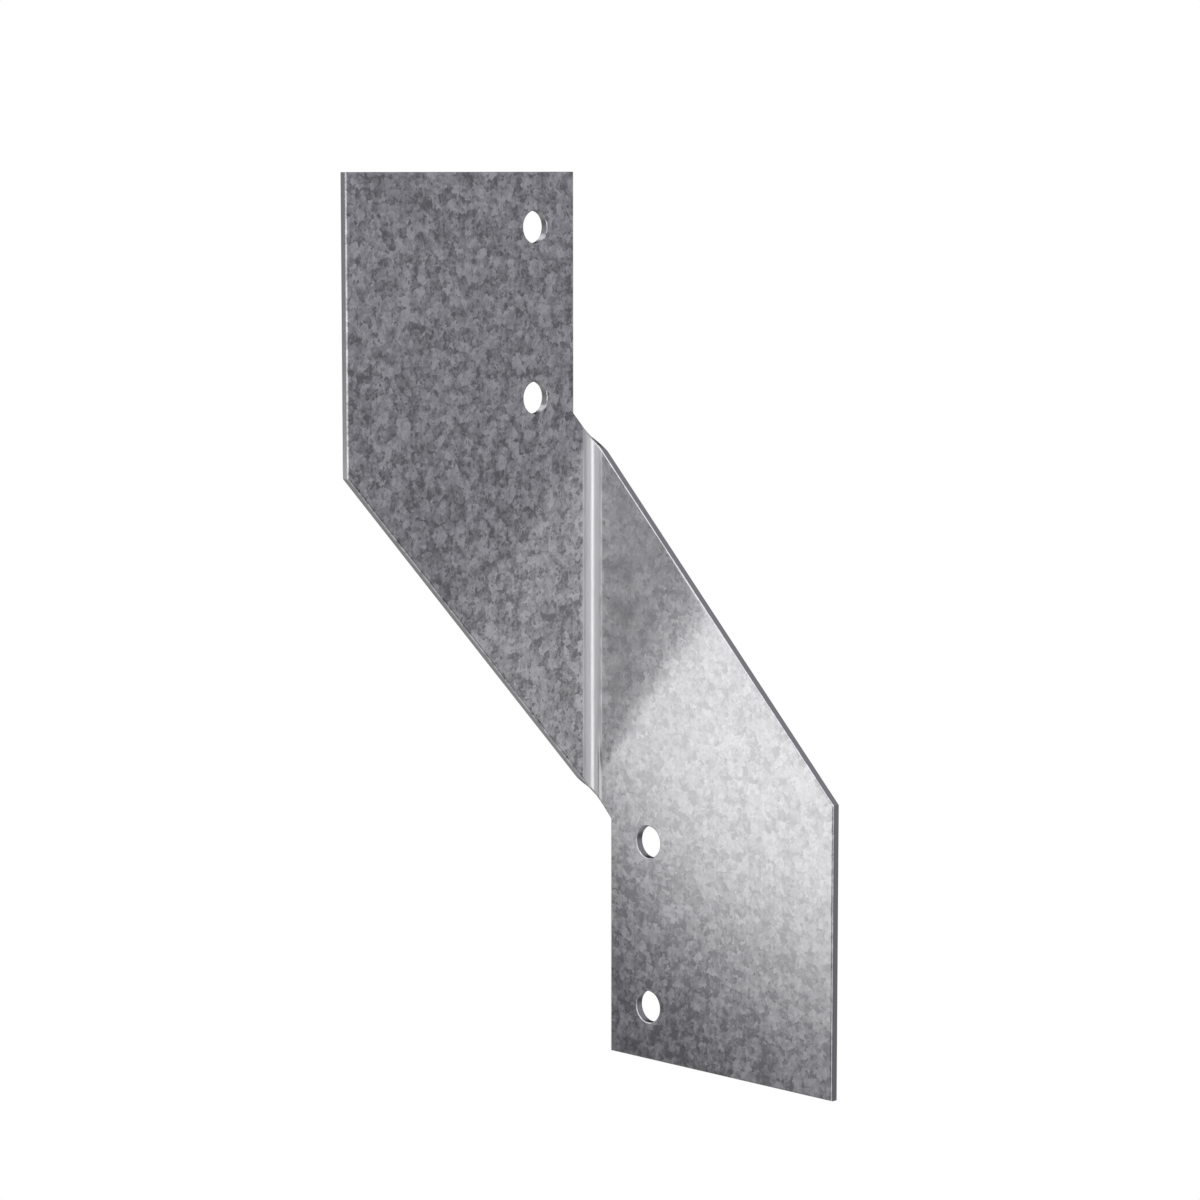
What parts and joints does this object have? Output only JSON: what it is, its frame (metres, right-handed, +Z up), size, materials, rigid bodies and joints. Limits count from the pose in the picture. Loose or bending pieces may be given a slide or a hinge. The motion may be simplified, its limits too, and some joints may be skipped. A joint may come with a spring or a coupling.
{
  "type": "hurricane tie",
  "caption": "Galvanised sheet tie, punched and folded square, with offset upper and lower flanges that screw a rafter's side to the face of its wall plate.",
  "frame": {"origin": "midway between the lower flange's two screw holes, on its back face, which bears on the wall plate", "axes": "+Y into the wall plate, +Z up along the fold, -X into the rafter that the upper flange bears on"},
  "size_m": [0.0476, 0.0476, 0.127],
  "materials": {
    "galvanised_sheet": "hot-dip galvanised, small bright spangle, satin"
  },
  "bodies": {
    "root": {"folded_tie": "galvanised_sheet"}
  },
  "joints": []
}
